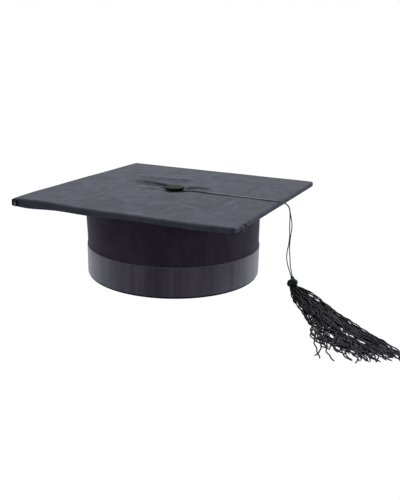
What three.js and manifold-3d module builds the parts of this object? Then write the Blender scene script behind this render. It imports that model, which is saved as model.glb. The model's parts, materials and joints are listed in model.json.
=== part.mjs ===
// Graduation cap: a square cloth-covered board on a stiff round crown with a ribbon band, a covered
// button, and a doubled cord that runs to the middle of one board edge and carries a tassel.
// Millimetres, +Z up. The origin is the centre of the crown's bottom rim, on the surface it stands
// on. +X points at the board edge that the cord crosses, and the board's sides lie along X and Y.
import * as THREE from 'three';
import { mergeVertices } from 'three/addons/utils/BufferGeometryUtils.js';
import Module from 'manifold-3d';

const wasm = await Module();
wasm.setup();

// Driving dimensions
const GAP = 0.3; // clearance kept between neighbours
const CLOTH = 0.6; // covering cloth
const BOARD_SIDE = 240;
const BOARD_TOP = 91;
const COVER_DEPTH = 5.8; // covered board, top to bottom of its turned edge
const EDGE_ROUND = 1.8; // roll of the covered edge
const CORNER_ROUND = 2.6; // plan radius of the covered corners
const CORE_DEPTH = 2.2;
const CORE_INSET = 1.9; // card and padding, inside the covered board's plan
const CORE_CORNER = 1.2; // plan radius of their corners
const TURN_IN = 18; // cloth folded under the board
const FACING_DEPTH = 0.4;
const FACING_INSET = 7;
const DIMPLE = { depth: 1.2, floor: 13, rim: 24 }; // hollow that the button pulls in the cover
const WADDING_HOLE = { floor: 16, rim: 26 }; // the same hollow, cut through the padding
const BUTTON_RADIUS = 11;
const BUTTON_HEIGHT = 2.6;
const BUTTON_LIP = 2.4; // cloth turned under the button
const BUTTON_SLACK = 0.6; // shell's edge, inside its cloth
const DOME_FULLNESS = 0.7; // power of the cosine: the lower, the squarer the button's shoulder
const SHEET = 0.35; // sheet metal of the button's shell and back
const SHANK = { radius: 1.5, headRadius: 4.5, footRadius: 3.4, footDepth: 0.7, hole: 2 };
const WASHER = { radius: 8, depth: 0.8 };
const CORD = 1.1; // diameter of one strand
const LOOP_RADIUS = 3.4; // cord round the shank
const CROWN_RADIUS = 93.7; // outside of the crown's cloth
const STIFFENER_WALL = 1.2;
const HEM_HEIGHT = 12; // cloth turned up inside the rim
const TOP_DISC_DEPTH = 1.9;
const BAND = { low: 1.6, high: 33.5, depth: 0.5, lapStart: Math.PI / 2, lapAngle: 0.22 };
const LINING = 0.6;
const LINING_CEILING = 78.8;
const SWEATBAND = { low: 0.6, high: 30, outer: 90.2, depth: 1.4 };
const HINGE_X = 120.4; // where the cord bends over the board's edge
const TASSEL_AT = { x: 140, y: -7.7, turn: -0.887 }; // foot of the tassel's pivot, and its bearing
const KNOT_HEIGHT = 16.7; // middle of the knot that the strands end in
const HEAD = { radius: 5.3, half: 4.4, s: 2.2, z: 10.3, tilt: 0.66 }; // s and z: its middle
const NECK = { inner: 1.6, outer: 3.6, half: 1.1 };
const SKIRT_REACH = { height: 14, halfWidth: 40 }; // room that holds the whole fan
const CROWN_SIDES = 64; // facets round the crown
const BUTTON_SIDES = 32;
const TASSEL_SIDES = 20;
const PIN_SIDES = 16;
const CORD_SIDES = 8;
const STRAND_STEPS = 24;
const LOOP_SIDES = 24;
const CORNER_SEGMENTS = 3; // facets of a rounded corner or rolled edge
const BEYOND = 5; // how far a cutting solid reaches past what it cuts

// Levels that follow from them
const coverLow = BOARD_TOP - COVER_DEPTH;
const facingTop = coverLow - GAP;
const facingLow = facingTop - FACING_DEPTH;
const crownTop = facingLow - GAP;
const coreLow = coverLow + CLOTH + GAP;
const coreTop = coreLow + CORE_DEPTH;
const waddingLow = coreTop + GAP;
const waddingTop = BOARD_TOP - CLOTH - GAP;
const dimpleFloor = BOARD_TOP - DIMPLE.depth;
const loopLevel = dimpleFloor + GAP / 2 + CORD / 2;
const buttonLow = loopLevel + CORD / 2 + GAP / 2;
const runLevel = BOARD_TOP + GAP + CORD / 2;
const stiffenerOuter = CROWN_RADIUS - CLOTH - GAP;
const stiffenerInner = stiffenerOuter - STIFFENER_WALL;
const discTop = crownTop - CLOTH - GAP;
const discLow = discTop - TOP_DISC_DEPTH;
const washerTop = discLow - GAP;
const washerLow = washerTop - WASHER.depth;

const cloth = (color, roughness) => new THREE.MeshStandardMaterial({ color, roughness, metalness: 0 });
const MATERIALS = {
  boardCloth: cloth(0x5c5e68, 0.9),
  crownCloth: cloth(0x24202a, 0.95),
  satin: cloth(0x4a4650, 0.35),
  cord: cloth(0x1c1b20, 0.6),
  yarn: cloth(0x141216, 0.5),
  card: cloth(0x8d8a80, 0.9),
  wadding: cloth(0xd9d7d0, 1),
  lining: cloth(0x26242a, 0.7),
  sweatband: cloth(0x1d1b1f, 0.6),
  metal: new THREE.MeshStandardMaterial({ color: 0xb5b5b2, roughness: 0.35, metalness: 1 }),
};

const cap = new THREE.Group();

function addPiece(name, geometry, material, parent = cap) {
  const piece = new THREE.Mesh(geometry, material);
  piece.name = name;
  parent.add(piece);
  return piece;
}

// A closed geometry as a solid: only its positions, merged, without triangles that have no area.
function solidOf(geometry) {
  const bare = geometry.clone();
  bare.deleteAttribute('normal');
  bare.deleteAttribute('uv');
  const merged = mergeVertices(bare, 1e-4);
  const index = merged.index.array;
  const kept = [];
  for (let i = 0; i < index.length; i += 3) {
    const [a, b, c] = [index[i], index[i + 1], index[i + 2]];
    if (a !== b && b !== c && c !== a) kept.push(a, b, c);
  }
  const vertProperties = new Float32Array(merged.attributes.position.array);
  const triVerts = new Uint32Array(kept);
  return new wasm.Manifold(new wasm.Mesh({ numProp: 3, vertProperties, triVerts }));
}

function geometryOf(solid) {
  const mesh = solid.getMesh();
  const geometry = new THREE.BufferGeometry();
  geometry.setAttribute('position', new THREE.BufferAttribute(new Float32Array(mesh.vertProperties), 3));
  geometry.setIndex(new THREE.BufferAttribute(new Uint32Array(mesh.triVerts), 1));
  return geometry;
}

function cut(geometry, ...tools) {
  return geometryOf(tools.reduce((solid, tool) => solid.subtract(solidOf(tool)), solidOf(geometry)));
}

// A turned solid round +Z: profile is a list of [radius, height], on the axis at both ends or closed.
function turned(profile, sides = CROWN_SIDES) {
  const points = profile.map(([radius, height]) => new THREE.Vector2(radius, height));
  return new THREE.LatheGeometry(points, sides).rotateX(Math.PI / 2);
}

function ring(inner, outer, low, high, sides = CROWN_SIDES) {
  return turned([[inner, low], [outer, low], [outer, high], [inner, high], [inner, low]], sides);
}

function disc(radius, low, high, sides) {
  return turned([[0, low], [radius, low], [radius, high], [0, high]], sides);
}

function roundedSquare(half, radius) {
  const shape = new THREE.Shape();
  const inner = half - radius;
  shape.absarc(inner, inner, radius, 0, Math.PI / 2);
  shape.absarc(-inner, inner, radius, Math.PI / 2, Math.PI);
  shape.absarc(-inner, -inner, radius, Math.PI, Math.PI * 1.5);
  shape.absarc(inner, -inner, radius, Math.PI * 1.5, Math.PI * 2);
  return shape;
}

// A square slab from low to high whose edges are rolled to the radius edge.
function slab(half, corner, edge, low, high) {
  const depth = high - low - 2 * edge;
  const facets = { bevelSegments: CORNER_SEGMENTS, curveSegments: CORNER_SEGMENTS };
  const options = { depth, bevelThickness: edge, bevelSize: edge, ...facets };
  const shape = roundedSquare(half - edge, corner - edge);
  return new THREE.ExtrudeGeometry(shape, options).translate(0, 0, low + edge);
}

function plate(half, corner, low, high) {
  const options = { depth: high - low, bevelEnabled: false, curveSegments: CORNER_SEGMENTS };
  return new THREE.ExtrudeGeometry(roundedSquare(half, corner), options).translate(0, 0, low);
}

// The solid that a round hollow takes away: wide at top, narrow at floor, reaching up past the cover.
function hollow(floorRadius, floor, rimRadius, rim) {
  const above = BOARD_TOP + BEYOND;
  const outline = [[0, floor], [floorRadius, floor], [rimRadius, rim], [rimRadius, above], [0, above]];
  return turned(outline, BUTTON_SIDES);
}

function shankHole() {
  return disc(SHANK.hole, 0, BOARD_TOP + BEYOND, PIN_SIDES);
}

// Board: card, padding, the cloth that wraps both, and the facing that closes its underside.
function addBoard() {
  const half = BOARD_SIDE / 2;
  const coreHalf = half - CORE_INSET;
  const cavity = cut(
    slab(half - CLOTH, CORNER_ROUND - CLOTH, EDGE_ROUND - CLOTH, coverLow + CLOTH, BOARD_TOP - CLOTH),
    hollow(DIMPLE.floor, dimpleFloor - CLOTH, DIMPLE.rim, BOARD_TOP - CLOTH),
  );
  const cover = cut(
    slab(half, CORNER_ROUND, EDGE_ROUND, coverLow, BOARD_TOP),
    cavity,
    hollow(DIMPLE.floor, dimpleFloor, DIMPLE.rim, BOARD_TOP),
    plate(half - TURN_IN, CORNER_ROUND, coverLow - BEYOND, coverLow + 2 * CLOTH),
    shankHole(),
  );
  addPiece('board_cover', cover, MATERIALS.boardCloth);
  const wadding = cut(
    plate(coreHalf, CORE_CORNER, waddingLow, waddingTop),
    hollow(WADDING_HOLE.floor, waddingLow - BEYOND, WADDING_HOLE.rim, waddingTop),
  );
  addPiece('board_wadding', wadding, MATERIALS.wadding);
  const core = cut(plate(coreHalf, CORE_CORNER, coreLow, coreTop), shankHole());
  addPiece('board_core', core, MATERIALS.card);
  const facing = plate(half - FACING_INSET, CORNER_ROUND, facingLow, facingTop);
  addPiece('board_facing', cut(facing, shankHole()), MATERIALS.crownCloth);
}

// A button's rounded top as [radius, height] points, from its edge to the axis.
function dome(radius, low, high) {
  const steps = 6;
  const arch = [];
  for (let i = 0; i < steps; i += 1) {
    const angle = (i / steps) * (Math.PI / 2);
    arch.push([radius * Math.cos(angle) ** DOME_FULLNESS, low + (high - low) * Math.sin(angle)]);
  }
  return [...arch, [0, high]];
}

// Button: a domed shell in its own cloth, closed by a back plate, on a shank that is spread
// over a washer under the crown's top.
function addButton() {
  const top = buttonLow + BUTTON_HEIGHT;
  const lip = BUTTON_RADIUS - BUTTON_LIP;
  const coverProfile = [
    ...dome(BUTTON_RADIUS - CLOTH, buttonLow + CLOTH, top - CLOTH).reverse(),
    [lip, buttonLow + CLOTH],
    [lip, buttonLow],
    [BUTTON_RADIUS - CLOTH, buttonLow],
    ...dome(BUTTON_RADIUS, buttonLow + CLOTH, top),
  ];
  addPiece('button_cover', turned(coverProfile, BUTTON_SIDES), MATERIALS.crownCloth);
  const shellRadius = BUTTON_RADIUS - CLOTH - BUTTON_SLACK;
  const shellLow = buttonLow + CLOTH + GAP;
  const shellTop = top - CLOTH - GAP;
  const shellProfile = [
    ...dome(shellRadius - SHEET, shellLow, shellTop - SHEET).reverse(),
    ...dome(shellRadius, shellLow, shellTop),
  ];
  addPiece('button_shell', turned(shellProfile, BUTTON_SIDES), MATERIALS.metal);
  const backLow = buttonLow + GAP / 3;
  const back = ring(SHANK.hole, lip - GAP, backLow, backLow + SHEET, BUTTON_SIDES);
  addPiece('button_back', back, MATERIALS.metal);
  const footTop = washerLow - GAP;
  const headLow = backLow + SHEET + GAP / 2;
  const shank = turned([
    [0, footTop - SHANK.footDepth], [SHANK.footRadius, footTop - SHANK.footDepth],
    [SHANK.footRadius, footTop], [SHANK.radius, footTop], [SHANK.radius, headLow],
    [SHANK.headRadius, headLow], [SHANK.headRadius, headLow + SHEET], [0, headLow + SHEET],
  ], PIN_SIDES);
  addPiece('button_shank', shank, MATERIALS.metal);
  const washer = ring(SHANK.hole, WASHER.radius, washerLow, washerTop, BUTTON_SIDES);
  addPiece('button_washer', washer, MATERIALS.metal);
}

// Crown: a card tube and top disc, wrapped in cloth that turns up inside the rim and is sewn to a
// round of cloth at the top, with a ribbon round the outside, and a lining and a sweatband inside.
function addCrown() {
  const outer = CROWN_RADIUS;
  const inner = outer - CLOTH;
  const hemOuter = stiffenerInner - GAP;
  const hemInner = hemOuter - LINING;
  const wall = turned([
    [hemInner, 0], [outer, 0], [outer, crownTop], [inner, crownTop], [inner, CLOTH],
    [hemOuter, CLOTH], [hemOuter, HEM_HEIGHT], [hemInner, HEM_HEIGHT], [hemInner, 0],
  ]);
  addPiece('crown_cloth', wall, MATERIALS.crownCloth);
  const topCloth = ring(SHANK.hole, inner - GAP, crownTop - CLOTH, crownTop);
  addPiece('crown_top_cloth', topCloth, MATERIALS.crownCloth);
  const tube = ring(stiffenerInner, stiffenerOuter, CLOTH + GAP, discTop);
  addPiece('crown_stiffener', tube, MATERIALS.card);
  addPiece('crown_top_disc', ring(SHANK.hole, stiffenerInner - GAP, discLow, discTop), MATERIALS.card);
  const liningLow = HEM_HEIGHT + GAP;
  const lining = turned([
    [hemOuter, liningLow], [hemOuter, LINING_CEILING], [0, LINING_CEILING], [0, LINING_CEILING - LINING],
    [hemInner, LINING_CEILING - LINING], [hemInner, liningLow], [hemOuter, liningLow],
  ]);
  addPiece('crown_lining', lining, MATERIALS.lining);
  const { low, high, outer: sweatOuter, depth } = SWEATBAND;
  addPiece('sweatband', ring(sweatOuter - depth, sweatOuter, low, high), MATERIALS.sweatband);
}

// Ribbon: one turn round the crown, and the end that laps over it.
function addRibbon() {
  const inner = CROWN_RADIUS + GAP;
  const outer = inner + BAND.depth;
  addPiece('satin_band', ring(inner, outer, BAND.low, BAND.high), MATERIALS.satin);
  const lapEnd = BAND.lapStart + BAND.lapAngle;
  const plan = new THREE.Shape();
  plan.absarc(0, 0, outer + GAP + BAND.depth, BAND.lapStart, lapEnd);
  plan.absarc(0, 0, outer + GAP, lapEnd, BAND.lapStart, true);
  const upright = { depth: BAND.high - BAND.low, bevelEnabled: false, curveSegments: 4 };
  const lap = new THREE.ExtrudeGeometry(plan, upright).translate(0, 0, BAND.low);
  addPiece('satin_band_lap', lap, MATERIALS.satin);
}

// One strand: an octagonal tube along a smooth curve through the points.
function strand(points) {
  const section = new THREE.Shape();
  section.absarc(0, 0, CORD / 2, 0, Math.PI * 2);
  const extrudePath = new THREE.CatmullRomCurve3(points.map((p) => new THREE.Vector3(...p)));
  const tube = { steps: STRAND_STEPS, extrudePath, curveSegments: CORD_SIDES, bevelEnabled: false };
  return new THREE.ExtrudeGeometry(section, tube);
}

// The doubled cord's route as [x, y, z, across x, across y]: the middle between its strands, and how
// far the left strand lies from there. The right strand lies as far the other way.
const RUN_ROUTE = [
  [4.6, 0, loopLevel, -0.3, 1.7],
  [9, -0.1, loopLevel, -0.2, 1],
  [14, -0.3, loopLevel + 0.15, -0.15, 0.8],
  [24, -0.6, runLevel, -0.15, 0.75],
  [42, -0.9, runLevel, -0.15, 0.75],
  [62, -0.6, runLevel, -0.15, 0.8],
  [82, -0.9, runLevel, -0.15, 0.75],
  [102, -1.4, runLevel, -0.15, 0.75],
  [HINGE_X - 0.7, -1.9, runLevel, -0.15, 0.75],
];
const DROP_ROUTE = [
  [HINGE_X, -2, runLevel, -0.15, 0.75],
  [125, -3.4, 91.3, -0.15, 0.75],
  [128.9, -4.6, 90, -0.15, 0.75],
  [131.6, -5.4, 87.4, -0.15, 0.75],
  [132.9, -5.8, 83, -0.1, 0.75],
  [133.8, -6.1, 78, 0.3, 0.7],
  [134.6, -6.4, 72, 0.95, 0.45],
  [134.9, -6.5, 66, 0.95, 0.45],
  [134.8, -6.5, 59, 0.3, 0.7],
  [134.3, -6.3, 50, 0.3, 0.7],
  [133.9, -6.2, 44, 0.95, 0.45],
  [134.3, -6.4, 36, 1.5, 0.7],
  [135.9, -6.7, 27, 1.1, 0.5],
  [138.8, -7.5, 19, 0.5, 0.45],
];

function side(route, sign) {
  return route.map(([x, y, z, acrossX, acrossY]) => [x + sign * acrossX, y + sign * acrossY, z]);
}

function addCord() {
  const loop = new THREE.TorusGeometry(LOOP_RADIUS, CORD / 2, CORD_SIDES, LOOP_SIDES);
  addPiece('cord_loop', loop.translate(0, 0, loopLevel), MATERIALS.cord);
  for (const [stretch, route] of [['run', RUN_ROUTE], ['drop', DROP_ROUTE]]) {
    addPiece(`cord_${stretch}_left`, strand(side(route, 1)), MATERIALS.cord);
    addPiece(`cord_${stretch}_right`, strand(side(route, -1)), MATERIALS.cord);
  }
}

// Tassel, in its own frame: +X runs along the skirt, away from the foot of the pivot.
function addTassel() {
  const tassel = new THREE.Group();
  tassel.position.set(TASSEL_AT.x, TASSEL_AT.y, 0);
  tassel.rotation.z = TASSEL_AT.turn;
  cap.add(tassel);
  const knot = turned([[0, -1.4], [1.3, -0.9], [1.6, 0], [1.1, 1], [0, 1.3]], TASSEL_SIDES);
  addPiece('tassel_knot', knot.translate(0, 0, KNOT_HEIGHT), MATERIALS.yarn, tassel);
  // The head and the binding under it share one tilted axis.
  const placeOnAxis = (piece, distance) => {
    const [out, down] = [distance * Math.sin(HEAD.tilt), distance * Math.cos(HEAD.tilt)];
    piece.position.set(HEAD.s + out, 0, HEAD.z - down);
    piece.rotation.y = -HEAD.tilt;
  };
  const bulge = [[0, -1], [0.6, -0.97], [0.9, -0.7], [1, -0.1], [0.95, 0.45], [0.7, 0.9], [0, 1]];
  const barrel = bulge.map(([across, up]) => [across * HEAD.radius, up * HEAD.half]);
  placeOnAxis(addPiece('tassel_head', turned(barrel, TASSEL_SIDES), MATERIALS.yarn, tassel), 0);
  const binding = ring(NECK.inner, NECK.outer, -NECK.half, NECK.half, TASSEL_SIDES);
  const neck = addPiece('tassel_neck', binding, MATERIALS.cord, tassel);
  placeOnAxis(neck, HEAD.half + GAP + NECK.half);
  addPiece('tassel_skirt', skirtGeometry(), MATERIALS.yarn, tassel);
}

// The fanned yarns as one closed solid: the fan's plan, seen from above, meets its side outline.
function skirtGeometry() {
  const plan = new THREE.Shape();
  plan.moveTo(2, -3.4);
  plan.bezierCurveTo(40, -10, 90, -17, 144, -28);
  plan.bezierCurveTo(158, -20, 166, 10, 160, 34);
  plan.bezierCurveTo(110, 20, 60, 14, 20, 8);
  plan.lineTo(2, 3.4);
  const upright = { depth: SKIRT_REACH.height, bevelEnabled: false, curveSegments: 6 };
  const planSolid = new THREE.ExtrudeGeometry(plan, upright);
  const profile = new THREE.Shape();
  profile.moveTo(3.3, 1.9);
  profile.lineTo(9.6, 6.7);
  profile.bezierCurveTo(30, 12, 60, 9, 110, 7);
  profile.bezierCurveTo(146, 5, 158, 3, 165, 2);
  profile.lineTo(165, 0);
  profile.lineTo(6, 0);
  const across = { depth: 2 * SKIRT_REACH.halfWidth, bevelEnabled: false, curveSegments: 6 };
  const outline = new THREE.ExtrudeGeometry(profile, across);
  const outlineSolid = outline.translate(0, 0, -SKIRT_REACH.halfWidth).rotateX(Math.PI / 2);
  return geometryOf(solidOf(planSolid).intersect(solidOf(outlineSolid)));
}

addBoard();
addButton();
addCrown();
addRibbon();
addCord();
addTassel();

export default cap;
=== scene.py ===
"""Graduation cap: its looks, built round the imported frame.

Metres, +Z up through the button, +X towards the board edge that the cord crosses. Shapes are
surfaces worked out on grids with numpy, and sizes come from the frame or are named here.
"""
import json
import math

import bpy
import numpy as np
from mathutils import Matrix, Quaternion, Vector


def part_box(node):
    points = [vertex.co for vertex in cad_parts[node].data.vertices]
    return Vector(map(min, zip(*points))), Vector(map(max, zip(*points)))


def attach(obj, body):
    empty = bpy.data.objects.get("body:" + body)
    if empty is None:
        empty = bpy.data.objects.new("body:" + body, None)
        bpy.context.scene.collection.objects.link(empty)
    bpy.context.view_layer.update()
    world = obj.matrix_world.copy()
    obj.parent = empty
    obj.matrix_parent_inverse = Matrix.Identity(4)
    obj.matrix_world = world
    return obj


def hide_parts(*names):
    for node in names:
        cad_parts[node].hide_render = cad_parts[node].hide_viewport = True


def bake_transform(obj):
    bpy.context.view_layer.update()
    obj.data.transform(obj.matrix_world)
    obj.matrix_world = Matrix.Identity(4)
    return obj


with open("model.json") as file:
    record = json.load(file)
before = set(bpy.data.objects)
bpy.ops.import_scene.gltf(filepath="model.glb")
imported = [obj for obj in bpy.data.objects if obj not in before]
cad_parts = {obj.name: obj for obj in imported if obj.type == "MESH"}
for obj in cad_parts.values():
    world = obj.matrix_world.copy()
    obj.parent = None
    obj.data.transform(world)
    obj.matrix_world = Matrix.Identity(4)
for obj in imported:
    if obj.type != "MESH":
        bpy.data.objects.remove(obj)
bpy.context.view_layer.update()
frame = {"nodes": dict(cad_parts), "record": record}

MM = 0.001
TURN = 2 * math.pi


def low(node):
    return np.array(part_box(node)[0])


def high(node):
    return np.array(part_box(node)[1])


# Sizes read from the frame
HALF = high("board_cover")[0]  # half the board's side
BOARD_TOP = high("board_cover")[2]
BOARD_UNDER = low("board_cover")[2]
RIBBON_LOW = low("satin_band")[2]
RIBBON_HIGH = high("satin_band")[2]
RIBBON_OUTER = high("satin_band")[0]
CROWN_OUTER = high("crown_cloth")[0]
CROWN_TOP = high("crown_cloth")[2]
LINING_OUTER = high("crown_lining")[0]
LINING_CEILING = high("crown_lining")[2]
BUTTON_LOW = low("button_cover")[2]
BUTTON_TOP = high("button_cover")[2]
BUTTON_RADIUS = high("button_cover")[0]
LOOP_LEVEL = (low("cord_loop")[2] + high("cord_loop")[2]) / 2
CORD = high("cord_loop")[2] - low("cord_loop")[2]
LOOP_RADIUS = high("cord_loop")[0] - CORD / 2

# Sizes of the looks
CLOTH = 0.6 * MM
CORNER_ROUND = 2.6 * MM
EDGE_ROUND = 1.7 * MM  # roll of the covered edge, above and below
DIMPLE = {"depth": 1.2 * MM, "floor": 13 * MM, "rim": 24 * MM}
FOOT = np.array([140, -7.7, 0]) * MM  # foot of the tassel's pivot
BEARING = -0.887  # way that the skirt lies, about +Z
HEAD = {"radius": 5.3 * MM, "half": 4.5 * MM, "middle": np.array([2.0, 0, 10.8]) * MM, "tilt": 0.66}
HEAD_WRAPS = 17  # turns of yarn round the head
KNOT_HEIGHT = 16.1 * MM
YARN = 1.35 * MM
YARN_PITCH = 3.3 * MM
CORD_PITCH = 2.6 * MM
THREAD_PITCH = 0.9 * MM
CORD_PAINTED_LIGHT = (40 * MM, 128 * MM)  # part of each strand painted lighter where it runs on the board, from the shank: painted light against the shade of the run
WADDING_DEPTH = 1.0 * MM
WADDING_GAP = 0.85 * MM  # between the padding and the cover's cloth
BUTTON_LIP = 2.4 * MM  # cloth turned under the button
HEM = 12 * MM  # cloth turned up inside the rim
SEAM_AT = 1.72  # back seam of the crown's cloth, round +Z from +X
LAP_AT = math.pi / 2  # lapped end of the ribbon, round +Z from +X
LAP_ANGLE = 0.22
RIBBON_DEPTH = 0.4 * MM
LINING_DEPTH = 0.4 * MM
SWEATBAND_DEPTH = 1.4 * MM
STITCHES = 150  # round each edge of the sweatband

# The doubled cord's route, in millimetres: x, y and z midway between its two strands, and how far
# the left strand lies from there along X and along Y. The right strand lies as far the other way.
RUN_ROUTE = [
    [9, -0.1, 90.5, -0.2, 1],
    [14, -0.3, 90.65, -0.15, 0.8],
    [24, -0.6, 91.6, -0.15, 0.75],
    [42, -0.9, 91.65, -0.15, 0.75],
    [62, -0.6, 91.65, -0.15, 0.8],
    [82, -0.9, 91.65, -0.15, 0.75],
    [102, -1.4, 91.7, -0.15, 0.75],
    [119.7, -1.9, 91.85, -0.15, 0.75],
]
DROP_ROUTE = [
    [125, -3.4, 91.3, -0.15, 0.75],
    [128.9, -4.6, 90, -0.15, 0.75],
    [131.6, -5.4, 87.4, -0.15, 0.75],
    [132.9, -5.8, 83, -0.1, 0.75],
    [133.8, -6.1, 78, 0.3, 0.7],
    [134.6, -6.4, 72, 0.95, 0.45],
    [134.9, -6.5, 66, 0.95, 0.45],
    [134.8, -6.5, 59, 0.3, 0.7],
    [134.3, -6.3, 50, 0.3, 0.7],
    [133.9, -6.2, 44, 0.95, 0.45],
    [134.3, -6.4, 36, 1.5, 0.7],
    [135.9, -6.7, 27, 1.1, 0.5],
    [138.8, -7.5, 19, 0.5, 0.45],
    [139.8, -7.9, 16.4, 0.4, 0.35],
]


def add_object(name, data):
    """A new object in the scene, at the origin."""
    made = bpy.data.objects.new(name, data)
    bpy.context.scene.collection.objects.link(made)
    return made


# ---------------------------------------------------------------- camera


def add_camera():
    """The camera stands on its bearing and height round the point it looks at, turned a little
    about its own axis."""
    bearing = math.radians(25.0)
    height = math.radians(17.2)
    distance = 0.743
    look_at = Vector((0.0233, 0.0189, 0.0203))
    roll = math.radians(1.28)
    level = math.cos(height)
    back = Vector((math.sin(bearing) * level, -math.cos(bearing) * level, math.sin(height)))
    data = bpy.data.cameras.new("camera")
    data.lens = 47.59
    camera = add_object("camera", data)
    camera.location = look_at + distance * back
    camera.rotation_mode = "QUATERNION"
    camera.rotation_quaternion = (-back).to_track_quat("-Z", "Y") @ Quaternion((0, 0, 1), roll)
    bpy.context.scene.camera = camera


# ---------------------------------------------------------------- finishes


class Wire:
    """A node's output that takes arithmetic: each operator adds one Math node to its graph."""

    def __init__(self, graph, socket):
        self.graph = graph
        self.socket = socket

    def math(self, operation, *values):
        return self.graph.node("ShaderNodeMath", {"operation": operation}, dict(enumerate(values)))

    def __add__(self, other):
        return self.math("ADD", self, other)

    __radd__ = __add__

    def __sub__(self, other):
        return self.math("SUBTRACT", self, other)

    def __rsub__(self, other):
        return self.math("SUBTRACT", other, self)

    def __mul__(self, other):
        return self.math("MULTIPLY", self, other)

    __rmul__ = __mul__

    def sin(self):
        return self.math("SINE", self)

    def abs(self):
        return self.math("ABSOLUTE", self)

    def between(self, start, end, first=0.0, last=1.0):
        """first below start, last above end, smooth between them."""
        settings = {"interpolation_type": "SMOOTHSTEP"}
        sockets = {0: self, 1: start, 2: end, 3: first, 4: last}
        return self.graph.node("ShaderNodeMapRange", settings, sockets)


class Graph:
    """The nodes of a material or of the surround: a shader, and what is put in front of it."""

    def __init__(self, owner, shader):
        owner.use_nodes = True
        self.owner = owner
        self.tree = owner.node_tree
        self.shader = self.tree.nodes[shader]

    def feed(self, socket, value):
        """Links a wire to the socket or sets the socket's own value; a colour is made opaque."""
        if isinstance(value, Wire):
            self.tree.links.new(value.socket, socket)
        elif socket.type == "RGBA":
            socket.default_value = (*value, 1)
        else:
            socket.default_value = value

    def node(self, kind, settings=None, sockets=None, output=0):
        """Adds a node: its settings first, then the values or links of its sockets."""
        made = self.tree.nodes.new(kind)
        for key, value in (settings or {}).items():
            setattr(made, key, value)
        for key, value in (sockets or {}).items():
            self.feed(made.inputs[key], value)
        return Wire(self, made.outputs[output])

    def split(self, vector, count=3):
        """The first parts of a vector, x before y before z."""
        return [self.node("ShaderNodeSeparateXYZ", None, {0: vector}, k) for k in range(count)]

    def mix(self, factor, one, other):
        """A colour from one to the other as the factor goes from 0 to 1."""
        return self.node("ShaderNodeMix", {"data_type": "RGBA"}, {0: factor, 6: one, 7: other}, 2)

    def set(self, **sockets):
        """Values or links of the shader's sockets, named with underscores for spaces."""
        for key, value in sockets.items():
            self.feed(self.shader.inputs[key.replace("_", " ")], value)
        return self.owner


class Finish(Graph):
    """One material."""

    def __init__(self, name):
        super().__init__(bpy.data.materials.new(name), "Principled BSDF")

    def place(self):
        """The Object coordinates as a vector and as x, y and z."""
        place = self.node("ShaderNodeTexCoord", output=3)
        return place, self.split(place)

    def along(self):
        """The piece's own UV map: u round it, v along it in metres."""
        return self.split(self.node("ShaderNodeUVMap"), 2)

    def vector(self, x, y, z):
        return self.node("ShaderNodeCombineXYZ", None, {0: x, 1: y, 2: z})

    def noise(self, vector, scale, detail=3.0, roughness=0.5):
        """Noise of one size, from about 0.3 to 0.7."""
        sockets = {"Vector": vector, "Scale": scale, "Detail": detail, "Roughness": roughness}
        return self.node("ShaderNodeTexNoise", None, sockets)

    def bump(self, height, distance, strength=1.0):
        sockets = {"Height": height, "Distance": distance, "Strength": strength}
        return self.node("ShaderNodeBump", None, sockets)


def twill(across, up, pitch):
    """Diagonal ribs of a twill, broken by its crossing threads, from -1 to 1."""
    per_metre = TURN / pitch
    ribs = ((across + up) * per_metre).sin()
    threads = ((across - up) * (per_metre * 0.5)).sin()
    return ribs * (0.75 + 0.25 * threads)


def board_cloth_finish():
    """Brushed black cotton on the board: greyed nap in patches and short strokes over a twill, and a
    painted highlight along the board's edge.
    """
    finish = Finish("board_cloth")
    place, (x, y, z) = finish.place()
    patches = finish.noise(place, 21, 4, 0.6)
    strokes = finish.noise(finish.vector(x * 0.35 + y * 0.9, y * 0.3 - x * 1.1, z), 95, 3, 0.6)
    cross_strokes = finish.noise(finish.vector(x * 1.2 + y * 0.4, y * 0.25 - x * 0.2, z), 120, 3, 0.6)
    nap = finish.noise(place, 900, 2, 0.7)
    grey = patches.between(0.36, 0.66) * 0.34 + strokes.between(0.36, 0.66) * 0.34
    grey = grey + cross_strokes.between(0.36, 0.68) * 0.22 + nap.between(0.3, 0.7) * 0.1
    lint = finish.noise(place, 420, 1, 0.4).between(0.7, 0.76)
    colour = finish.mix(grey, (0.0135, 0.0142, 0.0200), (0.047, 0.0475, 0.0640))
    colour = finish.mix(lint * 0.12, colour, (0.12, 0.12, 0.13))
    # painted highlight: the cloth is painted lighter along the board's edge, where the rolled edge catches
    # the light
    rim = x.math("MAXIMUM", x.abs(), y.abs()).between(HALF - 2.8 * MM, HALF - 0.4 * MM)
    colour = finish.mix(rim * (0.2 + 0.5 * strokes), colour, (0.075, 0.073, 0.092))
    weave = twill(x + z * 0.5, y + z * 0.5, 0.9 * MM)
    height = weave * 0.35 + nap * 0.9 + strokes * 1.6
    return finish.set(
        Base_Color=colour,
        Roughness=0.8 + 0.12 * patches,
        Normal=finish.bump(height, 0.18 * MM, 0.7),
        Sheen_Weight=0.06,
        Sheen_Roughness=0.45,
        Sheen_Tint=(0.8, 0.88, 1.0),
        Specular_IOR_Level=0.2,
    )


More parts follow.
